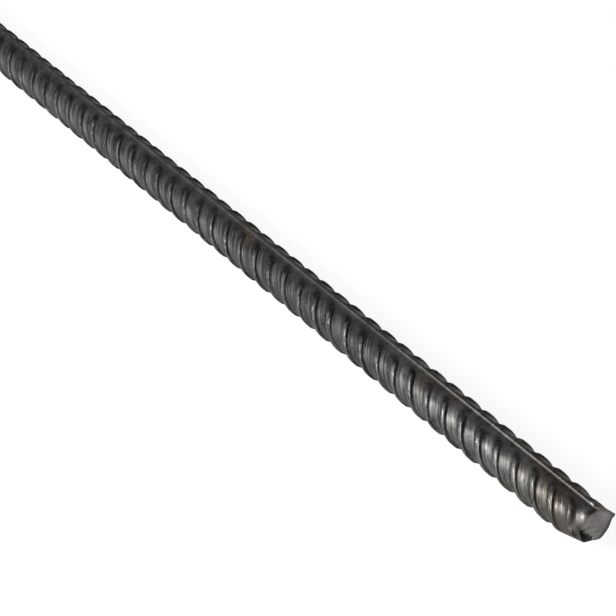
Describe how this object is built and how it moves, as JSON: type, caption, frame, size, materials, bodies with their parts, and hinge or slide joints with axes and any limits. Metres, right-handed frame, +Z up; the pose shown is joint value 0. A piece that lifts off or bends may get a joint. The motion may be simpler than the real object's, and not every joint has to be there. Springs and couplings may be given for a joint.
{
  "type": "ribbed reinforcing bar",
  "caption": "Straight hot-rolled steel bar for reinforcing concrete, with oblique ribs, a longitudinal rib on each side and sheared ends.",
  "frame": {"origin": "on the floor, under the middle of the bar", "axes": "+X along the bar, towards the end that the picture shows; +Z up"},
  "size_m": [1, 0.0154, 0.0154],
  "materials": {
    "steel": "as rolled, dark mill scale with light brown rust"
  },
  "bodies": {
    "root": {"rebar": "steel"}
  },
  "joints": []
}
